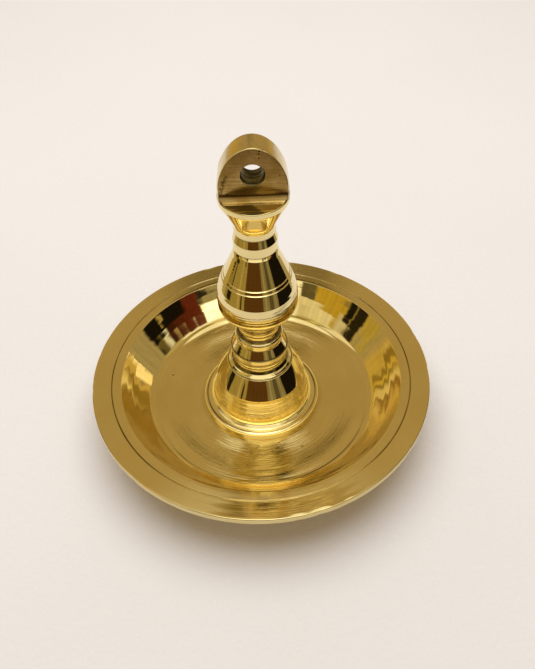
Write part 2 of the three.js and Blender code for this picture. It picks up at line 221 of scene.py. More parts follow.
def turned_brass(name, colour, dull, rough, bright, ring_mm, ring_depth,
                 cast_mm=26.0, cast_depth=0.0, pits=0.0, grain=0.0):
    """Brass as it comes off a lathe and a buffing wheel. Roughness runs from rough to bright with the piece's
    polish. Rings follow the turning, ring_mm apart. A slow swell bends reflections, pits are casting holes.
    Depths are in mm."""
    pit_depth = 0.15
    material, tree, shader = new_material(name)
    turning = add(tree, "Attribute", {"attribute_name": "turning"}).outputs["Vector"]
    polish = add(tree, "Attribute", {"attribute_name": "polish"}).outputs["Fac"]
    grime_and_shade = add(tree, "Attribute", {"attribute_name": "grime_and_shade"}).outputs["Fac"]
    ringing = add(tree, "Attribute", {"attribute_name": "ringing"}).outputs["Fac"]
    place = add(tree, "TexCoord").outputs["Object"]
    # Distance along the outline is in mm, so a scale of 1 / ring_mm on it gives one ring in ring_mm.
    ringed = add(tree, "VectorMath", {"operation": "MULTIPLY", 1: (0.9, 0.9, 1 / ring_mm)}, i0=turning)
    rings = add(tree, "TexNoise", {"Scale": 1.0, "Detail": 3.0, "Roughness": 0.7}, Vector=ringed.outputs[0])
    drawn = add(tree, "VectorMath", {"operation": "MULTIPLY", 1: (7.0, 7.0, 5.0)}, i0=turning).outputs[0]
    streaked = add(tree, "TexNoise", {"Scale": 1.0, "Detail": 4.0, "Roughness": 0.65}, Vector=drawn)
    streaks = streaked.outputs["Fac"]
    swell = add(tree, "TexNoise", {"Scale": 1000 / cast_mm, "Detail": 1.0}, Vector=place)
    cloud = add(tree, "TexNoise", {"Scale": 70.0, "Detail": 4.0, "Roughness": 0.6}, Vector=place)
    # Colour: a warm tone where fingers and oil have dulled the brass, in soft clouds drawn along the rings.
    tone = add(tree, "Math", {"operation": "MULTIPLY_ADD", 1: 0.5, 2: 0.0}, i0=cloud.outputs["Fac"])
    tone = add(tree, "Math", {"operation": "MULTIPLY_ADD", 1: 0.5}, i0=streaks, i2=tone.outputs[0])
    mixed = add(tree, "MapRange", {"From Min": 0.35, "From Max": 0.7}, i0=tone.outputs[0]).outputs[0]
    tint = add(tree, "Mix", {"data_type": "RGBA", 6: linear(colour), 7: linear(dull)}, i0=mixed).outputs[2]
    # Pits: small dark holes of about half a millimetre, few and far apart.
    holes = add(tree, "TexVoronoi", {"Scale": 150.0, "Randomness": 1.0}, Vector=place)
    fading = {"From Min": 0.025, "From Max": 0.07, "To Min": 1.0, "To Max": 0.0}
    spot = add(tree, "MapRange", fading, i0=holes.outputs["Distance"])
    chance = add(tree, "SeparateColor", i0=holes.outputs["Color"])
    chosen = add(tree, "Math", {"operation": "LESS_THAN", 1: pits}, i0=chance.outputs[0])
    pit = add(tree, "Math", {"operation": "MULTIPLY"}, i0=spot.outputs[0], i1=chosen.outputs[0]).outputs[0]
    filled = add(tree, "Math", {"operation": "MAXIMUM"}, i0=pit, i1=grime_and_shade)
    # Besides residue and pits, this darkens the painted shade on the finial's ledge.
    dark = add(tree, "Mix", {"data_type": "RGBA", 7: linear("2A1A06")}, i0=filled.outputs[0], i6=tint)
    tree.links.new(dark.outputs[2], shader.inputs["Base Color"])
    # Roughness: set by the polish, broken up by the streaks.
    base = add(tree, "MapRange", {"To Min": rough, "To Max": bright}, i0=polish)
    uneven = add(tree, "Math", {"operation": "MULTIPLY_ADD", 1: 0.9, 2: 0.55}, i0=streaks)
    value = add(tree, "Math", {"operation": "MULTIPLY"}, i0=base.outputs[0], i1=uneven.outputs[0])
    tree.links.new(value.outputs[0], shader.inputs["Roughness"])
    # Relief: the rings are as deep as the piece's ringing says, and the swell and the pits are everywhere.
    faint = add(tree, "Math", {"operation": "MULTIPLY_ADD", 1: 1.0, 2: 0.06}, i0=ringing)
    cut = add(tree, "Math", {"operation": "MULTIPLY"}, i0=rings.outputs["Fac"], i1=faint.outputs[0])
    relief = add(tree, "Bump", {"Strength": 1.0, "Distance": ring_depth * MM}, Height=cut.outputs[0])
    bent = {"Strength": 1.0, "Distance": cast_depth * MM}
    relief = add(tree, "Bump", bent, Height=swell.outputs["Fac"], Normal=relief.outputs[0])
    sunk = {"Strength": 1.0, "Distance": pit_depth * MM, "invert": True}
    relief = add(tree, "Bump", sunk, Height=pit, Normal=relief.outputs[0])
    tree.links.new(relief.outputs[0], shader.inputs["Normal"])
    # The grain of the turning spreads a highlight across the rings, never along them.
    shader.inputs["Anisotropic"].default_value = grain
    shader.inputs["Anisotropic Rotation"].default_value = 0.25
    tangent = add(tree, "Tangent", {"direction_type": "RADIAL", "axis": "Z"})
    tree.links.new(tangent.outputs[0], shader.inputs["Tangent"])
    return material


lip_to_floor = (RIM_TOP - FLOOR_TOP) / np.tan(BOWL_SLOPE)
floor_corner = LIP_RADIUS - lip_to_floor
# Inside, the wall is a little hollow: it starts from the lip 4 degrees steeper and arrives 4 degrees flatter.
upper_slope = BOWL_SLOPE + np.radians(4)
lower_slope = BOWL_SLOPE - np.radians(4)
bend_radius = LIP_RADIUS - WALL_BEND / np.tan(upper_slope)
hollow_corner = bend_radius - (RIM_TOP - FLOOR_TOP - WALL_BEND) / np.tan(lower_slope)
outer_shift = DISH_WALL * np.tan(BOWL_SLOPE / 2)
dish_corners = [
    (SCREW_BORE, FLOOR_UNDER, 0.2),
    (RING_RADIUS - RING_WIDTH, FLOOR_UNDER, 0.8),
    (RING_RADIUS - RING_WIDTH, 0, 0.3),
    (RING_RADIUS, 0, 0.3),
    (RING_RADIUS, FLOOR_UNDER, 0.8),
    (floor_corner + outer_shift, FLOOR_UNDER, FLOOR_FILLET + DISH_WALL),
    (LIP_RADIUS + outer_shift, RIM_TOP - DISH_WALL, 3),
    (DISH_RADIUS, RIM_TOP - DISH_WALL, 0.5),
    (DISH_RADIUS, RIM_TOP, 0.35),
    (RIM_LINE + 0.25, RIM_TOP, 0.06),
    (RIM_LINE, RIM_TOP - 0.35, 0.06),
    (RIM_LINE - 0.25, RIM_TOP, 0.06),
    (LIP_RADIUS, RIM_TOP, 0.8),
    (bend_radius, RIM_TOP - WALL_BEND, 40),
    (hollow_corner, FLOOR_TOP, FLOOR_FILLET),
    (SCREW_BORE, FLOOR_TOP, 0.2),
]


def dish_plain(radius, height):
    """The flat underside with its ring, the bore, and the floor, which is one edge from the bore to its
    fillet, with its middle in the foot boss's seat. Its trough and swell are wide enough for such steps."""
    return (radius < 20.5) | (height < FLOOR_UNDER + 0.1)


dish_outline = joined(dish_corners, 0.6, dish_plain)
NICKS = 26
rng = np.random.default_rng(7)
nick_angle = rng.uniform(0, 2 * np.pi, NICKS)
nick_size = rng.uniform(0.4, 1.6, NICKS)
nick_depth = rng.uniform(0.05, 0.22, NICKS)
FRONT = -np.pi / 2


def apart_from(angle, middle):
    """How far an angle is from a middle one, between -pi and pi."""
    return (angle - middle + np.pi) % (2 * np.pi) - np.pi


def rubbed_front(angle):
    """1 at the bowl's front, where hands and wicks rub it, fading to 0 at 0.55 radians to either side."""
    return np.clip((0.55 - np.abs(apart_from(angle, FRONT))) / 0.3, 0, 1)


def dish_relief(angle, radius, height, along):
    """The lathe tool's shallow rings, two waves a hundredth of a mm high that fade out towards the wall and
    that the floor's wide steps make uneven, a trough worn round the floor with a low swell outside it, and
    small dents on the rim's outer edge, each a bell curve."""
    inside = (height > FLOOR_TOP - 0.1) & (radius < 56) & (radius > 21)
    fading = np.clip((40 - radius) / 8, 0.06, 1)
    wander = 0.8 * np.sin(angle) + 0.5 * np.sin(2 * angle + 1)
    rings = fading * (0.012 * np.sin(radius * 2.5 + wander) + 0.006 * np.sin(radius * 4.9 - wander))
    trough = 0.5 * np.exp(-((radius - 28.0) / 5.2) ** 2) * np.clip((radius - 21) / 2, 0, 1)
    swell = 0.3 * np.exp(-((radius - 35.5) / 3) ** 2)
    edge = np.exp(-((radius - DISH_RADIUS) / 0.5) ** 2) * (height > RIM_TOP - DISH_WALL - 0.1)
    apart = apart_from(angle[..., None], nick_angle)
    dents = (nick_depth * np.exp(-(apart * DISH_RADIUS / nick_size) ** 2)).sum(-1)
    return np.where(inside, rings - trough + swell, 0) - edge * dents


def dish_polish(angle, radius, height):
    """1 on the bowl's wall, 0.6 on the floor and 0.25 on the rim. Both are buffed bright at the front where
    hands and oil have rubbed them, the rim in an uneven patch. The underside is dull."""
    wall = np.clip((radius - 36.5) / 6.5, 0, 1) * np.clip((RIM_START - radius) / 1.2, 0, 1)
    rubbed = rubbed_front(angle) * np.clip((37 - radius) / 2, 0, 1)
    floor = (0.35 + 0.35 * rubbed) * (radius < RIM_START)
    apart = apart_from(angle, FRONT)
    patchy = 0.6 * np.sin(radius * 2.1) * np.sin(apart * 9)
    bright = np.clip((0.42 - np.abs(apart - 0.1)) / 0.12 + patchy, 0, 1)
    front = bright * np.clip((radius - 53.0) / 1.5, 0.35, 1) * (radius > RIM_START)
    top = (height > FLOOR_TOP - 0.3) & ((radius < RIM_START) | (height > RIM_TOP - 1))
    return np.where(top, np.clip(0.25 + 0.75 * wall + floor * (1 - wall) + 0.75 * front, 0, 1), 0.0)


def dish_grime(angle, radius, height):
    """Dark polish residue in the rim's turned line, thicker in some places than in others, and where the
    foot boss stands on the floor."""
    line = np.exp(-((radius - RIM_LINE) / 0.17) ** 2) * (height > RIM_TOP - 0.5)
    thick = 0.45 + 0.2 * np.sin(2 * angle + 0.7) + 0.12 * np.sin(7 * angle) + 0.08 * np.sin(23 * angle)
    seat = np.exp(-((radius - 21.0) / 0.25) ** 2) * (height < FLOOR_TOP + 0.3) * (height > FLOOR_TOP - 0.1)
    return np.clip(thick * line + 0.35 * seat, 0, 1)


def dish_ringing(angle, radius, height):
    """The lathe's fine rings are deepest on the floor, less so where its front is rubbed, fade out towards
    the wall, and are faint on the rim."""
    floor = np.clip((41 - radius) / 8, 0, 1) * (height > FLOOR_TOP - 0.1)
    rim = 0.12 * (radius > RIM_START) * (height > RIM_TOP - 0.5)
    return floor * np.clip((radius - 20) / 2, 0, 1) * (1 - 0.3 * rubbed_front(angle)) + rim


# Satin brass draws highlights out across its rings on the floor and rim, and mirrors the room on the wall.
satin_brass = turned_brass("turned_satin_brass", "EAD99F", "E2CB8A", rough=0.2, bright=0.035, ring_mm=0.7,
                           ring_depth=0.09, cast_depth=0.05, pits=0.035, grain=0.85)
dish_marks = dish_relief, dish_polish, dish_grime, dish_ringing
dish = lathe_mesh("dish_bowl", dish_outline, 288, True, *dish_marks)
placed("dish_bowl", dish, ["dish"], "satin_brass", satin_brass)

# Foot boss. A brass casting turned to a flared boss, a short cone and a cove, left with the tool's coarse
# rings on the flare. It stands on the dish's floor, and its upper cone is buffed bright.
STEP_TOP = FLOOR_TOP + 2.9
STEP_LINE = 19.67
FLARE_TOP = FLOOR_TOP + 13.3
CONE_TOP = FLOOR_TOP + 21.1
FOOT_TOP = FLOOR_TOP + 26.5
foot_corners = [
    (SCREW_BORE, FLOOR_TOP + 1.2, 0.1),
    (8.3, FLOOR_TOP + 1.2, 0.1),
    (8.3, FLOOR_TOP, 0.1),
    (20.9, FLOOR_TOP, 0.4),
    (20.9, STEP_TOP, 0.9),
    (19.85, STEP_TOP, 0.1),
    (STEP_LINE, STEP_TOP - 0.25, 0.08),
    (19.5, STEP_TOP, 0.1),
    (17.2, STEP_TOP, 2.6),
    (15.1, FLARE_TOP, 0.3),
    (15.4, FLOOR_TOP + 14.5, 0.25),
    (11.45, CONE_TOP, 0.2),
    (11.1, CONE_TOP, 0.15),
    (9.25, FLOOR_TOP + 22.8, 1.7),
    (9.25, FOOT_TOP, 0.15),
    (5.3, FOOT_TOP, 0.1),
    (5.3, FOOT_TOP - 3.6, 0.1),
    (SCREW_BORE, FOOT_TOP - 3.6, 0.1),
]


def foot_plain(radius, height):
    """The underside, the bore and the socket."""
    return (height < FLOOR_TOP + 1.3) & (radius < 20.5) | (radius < 8.6)


foot_outline = joined(foot_corners, 0.22, foot_plain)


def foot_relief(angle, radius, height, along):
    """Coarse tool rings on the flare, 0.5 to 1.8 mm apart, and like ones in the cove above the cone."""
    flare = np.clip((FLARE_TOP - 0.3 - height) / 1.5, 0, 1) * (height > STEP_TOP - 0.2) * (radius > 14.5)
    cove = (height > CONE_TOP - 0.2) * (radius > 9.1) * (radius < 11.3)
    coarse = 0.022 * np.sin(along * 3.4) + 0.016 * np.sin(along * 7.1 + 2.0) + 0.011 * np.sin(along * 12.3)
    return flare * coarse + cove * (0.04 * np.sin(along * 5.6) + 0.015 * np.sin(along * 10.3))


def foot_polish(angle, radius, height):
    """Bright on the cone, less so on the flare."""
    cone = (height > FLARE_TOP - 0.1) & (height < CONE_TOP + 0.2)
    return np.where(cone, 1.0, 0.65)


def foot_grime(angle, radius, height):
    """Residue in the line scribed on the lowest step, in the cove's rings and at the foot of the light
    ring."""
    line = np.exp(-((radius - STEP_LINE) / 0.25) ** 2) * (height > STEP_TOP - 0.5) * (height < STEP_TOP + 0.2)
    seam = np.exp(-((height - FOOT_TOP) / 0.35) ** 2) * (radius > 9.0)
    thick = 0.45 + 0.3 * np.sin(2 * angle + 0.4) + 0.15 * np.sin(9 * angle)
    cove = (height > CONE_TOP - 0.2) * (radius > 9.2) * (radius < 11.6)
    rings = 0.7 * cove * np.clip(np.sin(radius * 9.0 + height * 5.0), 0, 1)
    return np.clip(thick * line + seam + rings, 0, 1)


def foot_ringing(angle, radius, height):
    """Fine tool rings on the lowest step and the flare, and hardly any above."""
    return np.where(height < FLARE_TOP - 0.3, 0.8, 0.05) + 0 * radius


# Polished brass mirrors the room sharply, broken only by its rings.
polished_brass = turned_brass("turned_polished_brass", "F1E0A8", "E8D492", rough=0.16, bright=0.04,
                              ring_mm=0.35, ring_depth=0.012, cast_mm=14.0, cast_depth=0.03, pits=0.03,
                              grain=0.5)
foot_marks = foot_relief, foot_polish, foot_grime, foot_ringing
foot = lathe_mesh("foot_boss_turned", foot_outline, 192, True, *foot_marks)
placed("foot_boss_turned", foot, ["foot_boss"], "polished_brass", polished_brass)

# Column. One brass casting turned from the light ring over the foot up to the chamfer below the finial.
# Its spigot sits in the foot's socket, and its blind holes take the screw and the finial.
COLUMN_TOP = FOOT_TOP + 45.6
COLUMN_SKIN = 6.2
column_corners = [
    (0, FOOT_TOP + 14.6),
    (3.1, FOOT_TOP + 14.6, 0.1),
    (3.1, FOOT_TOP - 3, 0.1),
    (5.0, FOOT_TOP - 3, 0.1),
    (5.0, FOOT_TOP, 0.1),
    (9.75, FOOT_TOP, 0.7),
    (9.75, FOOT_TOP + 2.4, 0.7),
    (9.45, FOOT_TOP + 2.4, 0.1),
    (7.85, FOOT_TOP + 5.4, 0.15),
    (8.25, FOOT_TOP + 8.8, 1.6),
    (6.75, FOOT_TOP + 8.8, 0.2),
    (6.75, FOOT_TOP + 13.3, 3.4),
    (13.1, FOOT_TOP + 21.4, 6),
    (13.1, FOOT_TOP + 28.3, 18),
    (11.22, FOOT_TOP + 34.12, 0.08),
    (10.9, FOOT_TOP + 34.25, 0.08),
    (11.0, FOOT_TOP + 34.5, 0.08),
    (10.62, FOOT_TOP + 35.32, 0.08),
    (10.3, FOOT_TOP + 35.45, 0.08),
    (10.4, FOOT_TOP + 35.7, 0.08),
    (7.4, FOOT_TOP + 42.9, 0.15),
    (7.0, FOOT_TOP + 44.5, 0.15),
    (6.35, COLUMN_TOP, 0.1),
    (3.6, COLUMN_TOP, 0.1),
    (3.6, COLUMN_TOP - 9.6, 0.1),
    (0, COLUMN_TOP - 9.6),
]


def column_plain(radius, height):
    """The spigot and the two blind holes, all nearer to the axis than the column's skin."""
    return (radius < COLUMN_SKIN) & ((radius < 5.2) | (height < FOOT_TOP + 1))


column_outline = divided(rounded(column_corners), 0.25, column_plain)


def column_relief(angle, radius, height, along):
    """Tool rings: a few coarse ones on the neck below the bulb, and faint ones everywhere else outside."""
    neck = np.exp(-((height - FOOT_TOP - 11.5) / 2.6) ** 2) * (radius > COLUMN_SKIN)
    faint = 0.003 * np.sin(height * 6.1) * (radius > COLUMN_SKIN)
    return 0.04 * neck * np.sin(height * 4.6) + 0.012 * neck * np.sin(height * 9.1 + 1.0) + faint


def column_polish(angle, radius, height):
    """Bright all over outside."""
    return np.where(radius > COLUMN_SKIN, 1.0, 0.2) + 0 * height


SCRATCHES = 40
scratch_rng = np.random.default_rng(5)
scratches = np.c_[
    scratch_rng.uniform(-1.15, -0.35, SCRATCHES),
    FOOT_TOP + scratch_rng.uniform(22.0, 29.0, SCRATCHES),
    scratch_rng.uniform(0.04, 0.16, SCRATCHES),
    scratch_rng.uniform(0.5, 1.0, SCRATCHES),
]


def column_grime(angle, radius, height):
    """Residue at the foot and the top of the light ring, above the bead and below the collars, and a worn
    patch of short dark scratches round the right front of the bulb, each with its angle, height, length and
    strength."""
    seams = [(FOOT_TOP, 0.3), (FOOT_TOP + 2.4, 0.2), (FOOT_TOP + 8.8, 0.3), (COLUMN_TOP, 0.35)]
    marks = [np.exp(-((height - level) / width) ** 2) for level, width in seams]
    worn = 0.0
    for at, level, length, strength in scratches:
        apart = apart_from(angle, at)
        tilted = height - level - 1.5 * apart
        worn = np.maximum(worn, strength * np.exp(-(apart / length) ** 2 - (tilted / 0.24) ** 2))
    return np.clip(0.8 * sum(marks) * (radius > 5.8) + worn * (radius > 9), 0, 1)


column_marks = column_relief, column_polish, column_grime
column = lathe_mesh("column_turned", column_outline, 192, False, *column_marks)
placed("column_turned", column, ["column"], "polished_brass", polished_brass)

# Eye finial, turned part. Two collars and a funnel-shaped cup that ends in a flat ledge, with a spigot that
# screws into the column's top. The collars are buffed bright, and the ledge has the milling cutter's marks.
LEDGE = COLUMN_TOP + 19.7
CUP_RADIUS = 10.6
finial_corners = [
    (0, COLUMN_TOP - 9),
    (3.5, COLUMN_TOP - 9, 0.3),
    (3.5, COLUMN_TOP, 0.1),
    (6.9, COLUMN_TOP, 0.2),
    (6.9, COLUMN_TOP + 3.6, 0.25),
    (6.1, COLUMN_TOP + 6.35, 0.3),
    (6.5, COLUMN_TOP + 6.5, 0.2),
    (6.5, COLUMN_TOP + 9.6, 7),
    (CUP_RADIUS, COLUMN_TOP + 17.9, 1.5),
    (CUP_RADIUS, LEDGE, 0.3),
    (0, LEDGE),
]
finial_outline = divided(rounded(finial_corners), 0.22)


def finial_relief(angle, radius, height, along):
    """Milling chatter on the ledge: nearly straight waves along X, 1.3 mm apart and 0.03 mm deep."""
    ledge = (height > LEDGE - 0.02) & (radius > 0.5)
    x, y = radius * np.cos(angle), radius * np.sin(angle)
    return np.where(ledge, 0.015 * np.sin(y * 5.0 + 0.4 * np.sin(x)), 0)


def finial_polish(angle, radius, height):
    """Bright on the collars and the funnel, duller on the ledge."""
    return np.where(height > LEDGE - 0.05, 0.45, 1.0) + 0 * radius


def finial_grime_and_shade(angle, radius, height):
    """Residue under the lower collar and in the step below the upper one, and painted shade on the left half
    of the ledge's front, up to a slanting line."""
    step = np.exp(-((height - COLUMN_TOP - 6.4) / 0.3) ** 2) + np.exp(-((height - COLUMN_TOP) / 0.3) ** 2)
    x, y = radius * np.cos(angle), radius * np.sin(angle)
    side = 0.9 - x - 0.9 * (y + 7) + 0.3 * np.sin(6 * y)
    # Painted shade: the left half of the ledge's front is darkened up to a slanting line.
    ledge_shade = 0.72 * np.clip(side / 0.6, 0, 1) * (y < 0) * (height > LEDGE - 0.05)
    return np.clip(step * (radius > 5.8) * 0.9 + ledge_shade, 0, 1)


finial_marks = finial_relief, finial_polish, finial_grime_and_shade
finial = lathe_mesh("finial_turned", finial_outline, 160, False, *finial_marks)
placed("finial_turned", finial, ["eye_finial"], "polished_brass", polished_brass)

# Eye plate. The finial's upper end: a plate with a round top, milled flat at the front and back down to the
# ledge in the cutter's radius, with its edge filed by hand and a hole drilled through for the hook.
PLATE_HALF = 3.75
PLATE_HEIGHT = 17.2
HOLE_RADIUS = 3.35
HOLE_HEIGHT = 8.6
CUTTER_ROUND = 2.4
EDGE_BREAK = 0.35
SUNK = 1.2


def plate_reach(turn, depth):
    """How far the plate reaches from the hole's centre, in mm, in direction turn of the front view and at a
    distance depth from the middle plane. The outline is the half ellipse on the ledge, cut off by the turned
    blank's circle at that depth, and it goes a little below the ledge, where the cup hides it."""
    dx, dz = np.cos(turn), np.sin(turn)
    a = (dx / CUP_RADIUS) ** 2 + (dz / PLATE_HEIGHT) ** 2
    b = 2 * HOLE_HEIGHT * dz / PLATE_HEIGHT ** 2
    c = (HOLE_HEIGHT / PLATE_HEIGHT) ** 2 - 1
    ellipse = (-b + np.sqrt(b * b - 4 * a * c)) / (2 * a)
    level = HOLE_HEIGHT + ellipse * dz
    straight = CUP_RADIUS / np.maximum(np.abs(dx), 1e-6)
    outline = np.where(level < 0, straight, ellipse)
    width = np.sqrt(np.maximum(CUP_RADIUS ** 2 - depth ** 2, 1.0))
    blank = width / np.maximum(np.abs(dx), 1e-6)
    bottom = (HOLE_HEIGHT + SUNK) / np.maximum(-dz, 1e-6)
    soft = -np.log(np.exp(-outline * 4) + np.exp(-blank * 4)) / 4
    return np.minimum(soft, bottom)


def cutter_sweep(x, z):
    """How far a flat is from the plate's middle plane at height z above the ledge. It is farther where the
    milling cutter's radius runs out into the ledge, but never beyond the turned blank's circle at x."""
    low = np.clip(z, 0, CUTTER_ROUND)
    sweep = CUTTER_ROUND - np.sqrt(CUTTER_ROUND ** 2 - (CUTTER_ROUND - low) ** 2)
    room = np.sqrt(np.maximum(CUP_RADIUS ** 2 - x ** 2, 0.5)) - 0.05
    return np.minimum(PLATE_HALF + sweep, np.maximum(room, PLATE_HALF))


def plate_mesh(name, around=240):
    """One grid round the hole's axis: from the hole's edge across the front flat to the outline, over the
    filed edge to the back flat, to the hole again and through it. Row k of the grid is a ring of points."""
    turn = (np.arange(around) * 2 * np.pi / around)[None]
    share = np.r_[0, 0.012, 0.04, np.linspace(0.08, 0.93, 34), 0.955, 0.975, 0.99, 1.0][:, None]
    start = HOLE_RADIUS + 0.2
    edge = plate_reach(turn, PLATE_HALF) - EDGE_BREAK
    reach = start + (edge - start) * share
    x, z = reach * np.cos(turn), HOLE_HEIGHT + reach * np.sin(turn)
    front = np.stack([x, -cutter_sweep(x, z), z], -1)
    # Filed edge: quarter rounds at both flats and a slightly crowned surface between them.
    turned = -PLATE_HALF + EDGE_BREAK * (1 - np.cos(np.linspace(0.2, 1.4, 5)))
    flat = np.linspace(-PLATE_HALF + 0.6, PLATE_HALF - 0.6, 15)
    depth = np.r_[turned, flat, -turned[::-1]][:, None]
    inset = np.maximum(0, EDGE_BREAK - (PLATE_HALF - np.abs(depth)))
    round_in = EDGE_BREAK - np.sqrt(np.maximum(EDGE_BREAK ** 2 - inset ** 2, 0))
    outline = plate_reach(turn, np.abs(depth)) - round_in
    wobble = 0.05 * np.sin(3 * turn + 0.5 * depth) + 0.03 * np.sin(7 * turn + 1.3)
    outline = outline + wobble * (np.abs(depth) < PLATE_HALF - 0.3)
    x, z = outline * np.cos(turn), HOLE_HEIGHT + outline * np.sin(turn)
    rim = np.stack([x, depth * cutter_sweep(x, z) / PLATE_HALF, z], -1)
    back = (front * [1, -1, 1])[::-1]
    # Bore: scored by the drill in rings a few hundredths of a mm deep.
    bore_depth = np.linspace(PLATE_HALF - 0.2, -PLATE_HALF + 0.2, 12)[:, None]
    scored = HOLE_RADIUS + 0.04 * np.sin(bore_depth * 4 + turn) + 0.03 * np.sin(bore_depth * 9)
    bore = np.stack([scored * np.cos(turn), bore_depth + 0 * turn, HOLE_HEIGHT + scored * np.sin(turn)], -1)
    rows = [front, rim, back, bore]
    kinds = np.repeat([0, 1, 0, 2], [len(r) for r in rows])
    grid = np.concatenate(rows)
    count = len(grid)
    points = grid.reshape(-1, 3) + [0, 0, LEDGE]
    k, i = np.arange(count)[:, None], np.arange(around)[None]
    down, side = (k + 1) % count, (i + 1) % around
    quads = np.stack([k * around + i, k * around + side, down * around + side, down * around + i], -1)
    # Painted shade: each flat is darker low down, up to a bowed line.
    x, y, level = points[:, 0], points[:, 1], points[:, 2] - LEDGE
    bowed = 5.2 + 0.06 * x - 0.028 * x ** 2
    pits_and_shade = 0.7 * np.clip((bowed - level) / 1.1, 0, 1) * np.clip((level - 0.2) / 0.9, 0.75, 1)
    # Casting pits show at the front flat's left edge.
    pit_count = 60
    pit_rng = np.random.default_rng(3)
    pit_level = pit_rng.uniform(0.8, 8.8, pit_count)
    pit_side = -10.0 + 0.03 * pit_level ** 2 + pit_rng.uniform(0.0, 1.1, pit_count)
    for side_x, at in zip(pit_side, pit_level):
        far = ((x - side_x) ** 2 + (level - at) ** 2) / 0.05
        pits_and_shade = np.maximum(pits_and_shade, 0.9 * np.exp(-far) * (y < 0))
    plain = np.zeros(len(points))
    mesh = finished_mesh(name, points, quads.reshape(-1, 4).tolist(), points, plain + 0.5, pits_and_shade, plain)
    mesh.polygons.foreach_set("material_index", np.repeat(kinds, around).astype(np.int32))
    return mesh


def cut_brass(name, colour, dull, rough, grain_scale, depth, pits=0.0):
    """Brass left from a milling cutter, a file or a drill. Scratches follow the direction in which
    grain_scale is small and are depth mm deep, and pits says how common casting holes are."""
    pit_depth = 0.12
    material, tree, shader = new_material(name)
    place = add(tree, "TexCoord").outputs["Object"]
    stretched = add(tree, "Mapping", {"Scale": grain_scale}, Vector=place).outputs[0]
    scratched = {"Scale": 1.0, "Detail": 5.0, "Roughness": 0.7, "Distortion": 0.3}
    lines = add(tree, "TexNoise", scratched, Vector=stretched).outputs["Fac"]
    cloud = add(tree, "TexNoise", {"Scale": 160.0, "Detail": 3.0}, Vector=place).outputs["Fac"]
    tone = add(tree, "Math", {"operation": "MULTIPLY_ADD", 1: 0.6}, i0=lines, i2=cloud)
    mixed = add(tree, "MapRange", {"From Min": 0.6, "From Max": 1.0}, i0=tone.outputs[0]).outputs[0]
    tint = add(tree, "Mix", {"data_type": "RGBA", 6: linear(colour), 7: linear(dull)}, i0=mixed).outputs[2]
    holes = add(tree, "TexVoronoi", {"Scale": 900.0, "Randomness": 1.0}, Vector=place)
    fading = {"From Min": 0.25, "From Max": 0.45, "To Min": 1.0, "To Max": 0.0}
    size = add(tree, "MapRange", fading, i0=holes.outputs["Distance"])
    patch = add(tree, "TexNoise", {"Scale": 220.0, "Detail": 2.0}, Vector=place)
    few = add(tree, "MapRange", {"From Min": 0.68 - pits, "From Max": 0.74 - pits}, i0=patch.outputs["Fac"])
    pit = add(tree, "Math", {"operation": "MULTIPLY"}, i0=size.outputs[0], i1=few.outputs[0]).outputs[0]
    # Besides pits, this darkens the painted shade low on the eye plate's flats.
    grime_and_shade = add(tree, "Attribute", {"attribute_name": "grime_and_shade"})
    filled = add(tree, "Math", {"operation": "MAXIMUM"}, i0=pit, i1=grime_and_shade.outputs["Fac"])
    dark = add(tree, "Mix", {"data_type": "RGBA", 7: linear("3A2408")}, i0=filled.outputs[0], i6=tint)
    tree.links.new(dark.outputs[2], shader.inputs["Base Color"])
    spread = {"From Min": 0.3, "From Max": 0.7, "To Min": rough * 0.7, "To Max": rough * 1.4}
    uneven = add(tree, "MapRange", spread, i0=lines)
    tree.links.new(uneven.outputs[0], shader.inputs["Roughness"])
    relief = add(tree, "Bump", {"Strength": 1.0, "Distance": depth * MM}, Height=lines)
    sunk = {"Strength": 1.0, "Distance": pit_depth * MM, "invert": True}
    relief = add(tree, "Bump", sunk, Height=pit, Normal=relief.outputs[0])
    tree.links.new(relief.outputs[0], shader.inputs["Normal"])
    return material


# The cutter leaves long scratches along X on the flats, the file short ones across the edge, and the drill
# leaves rings in the hole, whose dark colour is painted shade.
milled_brass = cut_brass("milled_brass", "DDBF78", "AC8A44", rough=0.24, grain_scale=(60, 60, 1600),
                         depth=0.01)
filed_brass = cut_brass("filed_brass", "E4D29E", "D0BA84", rough=0.22, grain_scale=(500, 60, 60),
                        depth=0.006)
# Painted shade: the hole's brass is given dark colours.
shaded_drilled_brass = cut_brass("shaded_drilled_brass", "8C8258", "26221A", rough=0.35, grain_scale=(150, 900, 150),
                          depth=0.05, pits=0.08)
cut_finishes = milled_brass, filed_brass, shaded_drilled_brass
placed("eye_plate", plate_mesh("eye_plate"), ["eye_finial"], "polished_brass", *cut_finishes)

# Fixing screw. A turned brass machine screw with a slotted pan head, driven up through the dish and the foot
# boss into the column. Its thread is cut 0.8 mm apart over the upper part of the shank.
HEAD_SEAT = FLOOR_UNDER - 1.0
HEAD_FACE = HEAD_SEAT - 2.9
SLOT_HALF = 0.65
SLOT_DEPTH = 1.2
SCREW_TIP = FOOT_TOP + 14.0
THREAD_PITCH = 0.8
THREAD_DEPTH = 0.45
screw_corners = [
    (0, HEAD_FACE),
    (5.6, HEAD_FACE, 1.2),
    (5.6, HEAD_SEAT, 0.2),
    (3.0, HEAD_SEAT, 0.2),
    (3.0, SCREW_TIP - 0.6, 0.1),
    (2.4, SCREW_TIP, 0.1),
    (0, SCREW_TIP),
]
screw_outline = divided(rounded(screw_corners), 0.2)


